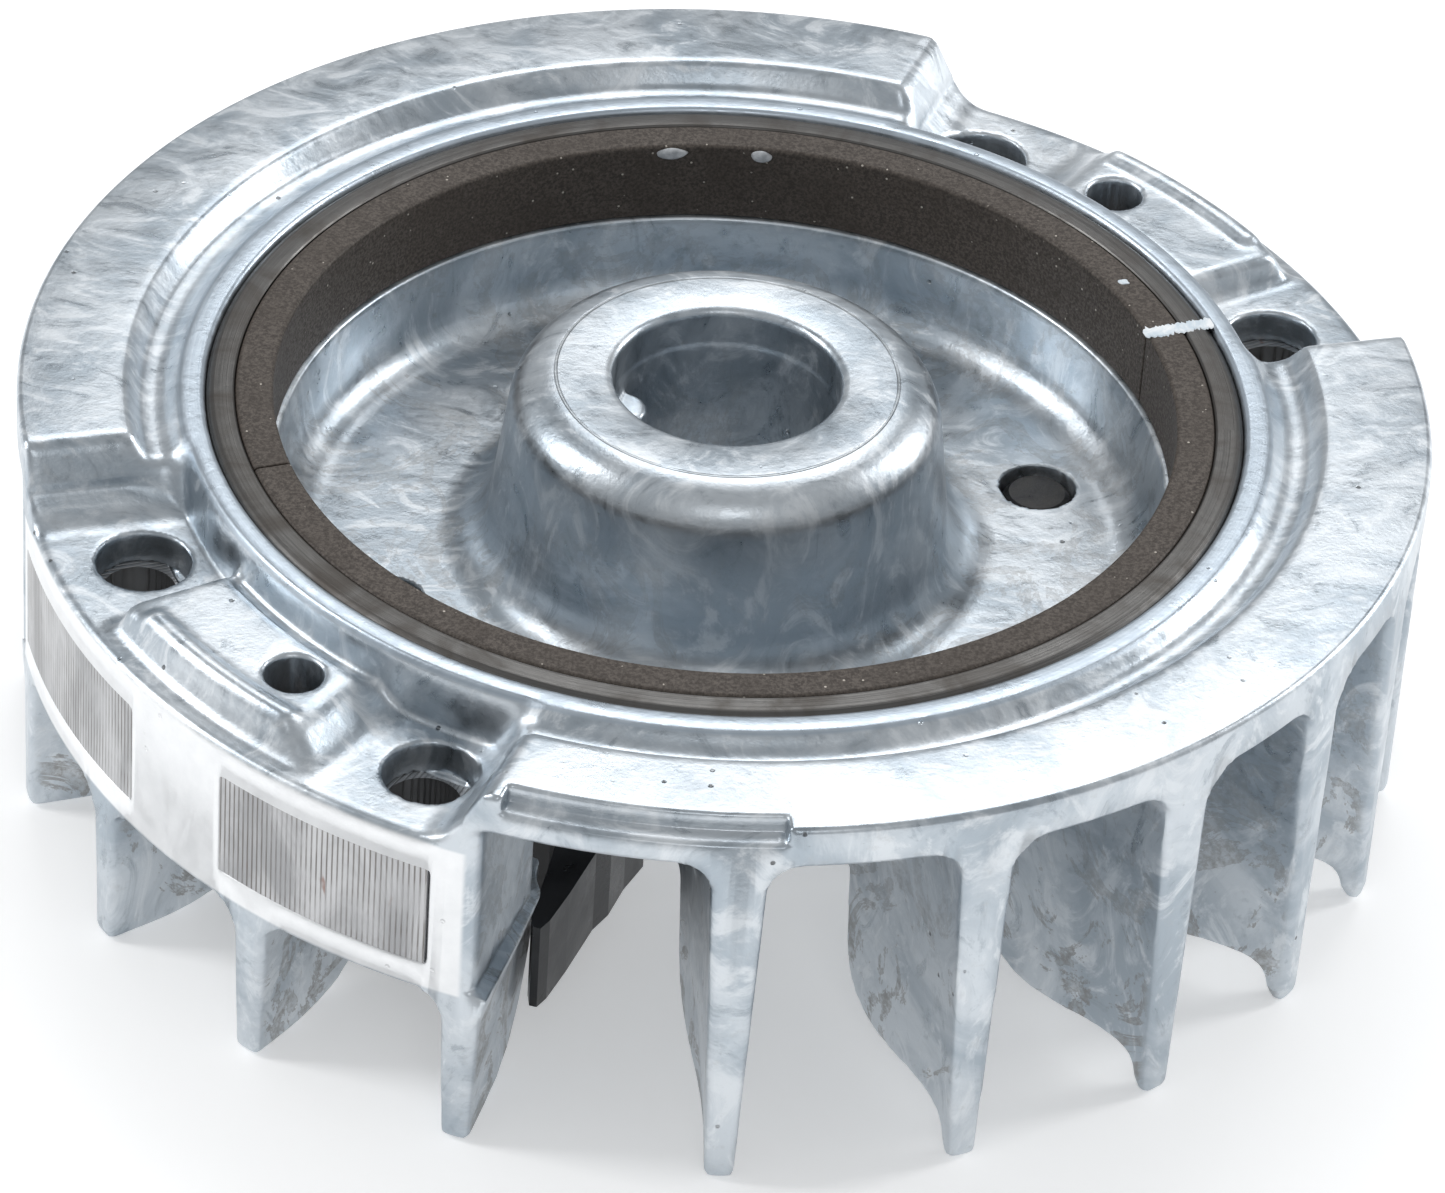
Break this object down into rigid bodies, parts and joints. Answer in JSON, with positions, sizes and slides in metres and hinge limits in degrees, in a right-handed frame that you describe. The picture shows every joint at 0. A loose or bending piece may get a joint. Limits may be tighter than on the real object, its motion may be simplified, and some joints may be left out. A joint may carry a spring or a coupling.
{
  "type": "flywheel",
  "caption": "Cast flywheel with cooling fan blades, a magnet ring for a generator, ignition pole packs in two machined pads, a keyed crankshaft bore and two sprung starter pawls.",
  "frame": {"origin": "on the crankshaft axis, level with the lip round the magnet ring", "axes": "+Z along the crankshaft towards the engine side; -Y towards the outside middle of the flange segment that has the rebate"},
  "size_m": [0.1, 0.1, 0.0315],
  "materials": {
    "cast_aluminium": "die-cast, satin",
    "ring_steel": "turned, dull",
    "ring_ferrite": "sintered, speckled",
    "block_magnet": "ground",
    "pole_laminations": "ground, with light rust",
    "pawl_black": "satin black",
    "zinc_steel": "zinc plated",
    "black_oxide_steel": "black oxide",
    "spring_steel": "drawn wire"
  },
  "bodies": {
    "flywheel": {"casting_body": "cast_aluminium", "flux_ring": "ring_steel", "ring_magnet_a": "ring_ferrite", "ring_magnet_b": "ring_ferrite", "ignition_magnet": "block_magnet", "ignition_pole_leading": "pole_laminations", "ignition_pole_trailing": "pole_laminations", "balance_magnet": "block_magnet", "balance_pole_leading": "pole_laminations", "balance_pole_trailing": "pole_laminations", "pawl_washer_a": "zinc_steel", "pawl_screw_a": "black_oxide_steel", "pawl_spring_a": "spring_steel", "pawl_washer_b": "zinc_steel", "pawl_screw_b": "black_oxide_steel", "pawl_spring_b": "spring_steel", "fan_blade_01": "cast_aluminium", "fan_blade_02": "cast_aluminium", "fan_blade_03": "cast_aluminium", "fan_blade_04": "cast_aluminium", "fan_blade_05": "cast_aluminium", "fan_blade_06": "cast_aluminium", "fan_blade_07": "cast_aluminium", "fan_blade_08": "cast_aluminium", "fan_blade_09": "cast_aluminium", "fan_blade_10": "cast_aluminium", "fan_blade_11": "cast_aluminium", "fan_blade_12": "cast_aluminium", "fan_blade_13": "cast_aluminium", "fan_blade_14": "cast_aluminium", "fan_blade_15": "cast_aluminium", "fan_blade_16": "cast_aluminium", "fan_blade_17": "cast_aluminium", "fan_blade_18": "cast_aluminium", "fan_blade_19": "cast_aluminium", "fan_blade_20": "cast_aluminium"},
    "pawl_a": {"starter_pawl_a": "pawl_black"},
    "pawl_b": {"starter_pawl_b": "pawl_black"}
  },
  "joints": [
    {"name": "pawl_a_swing", "type": "hinge", "parent": "flywheel", "child": "pawl_a", "pos_m": [-0.02305, -0.00941, -0.02225], "axis": [0, 0, 1], "range_deg": [0, 10], "stiffness_Nm_per_rad": 0.02, "springref_deg": -20.05},
    {"name": "pawl_b_swing", "type": "hinge", "parent": "flywheel", "child": "pawl_b", "pos_m": [0.02305, 0.00941, -0.02225], "axis": [0, 0, 1], "range_deg": [0, 10], "stiffness_Nm_per_rad": 0.02, "springref_deg": -20.05}
  ]
}
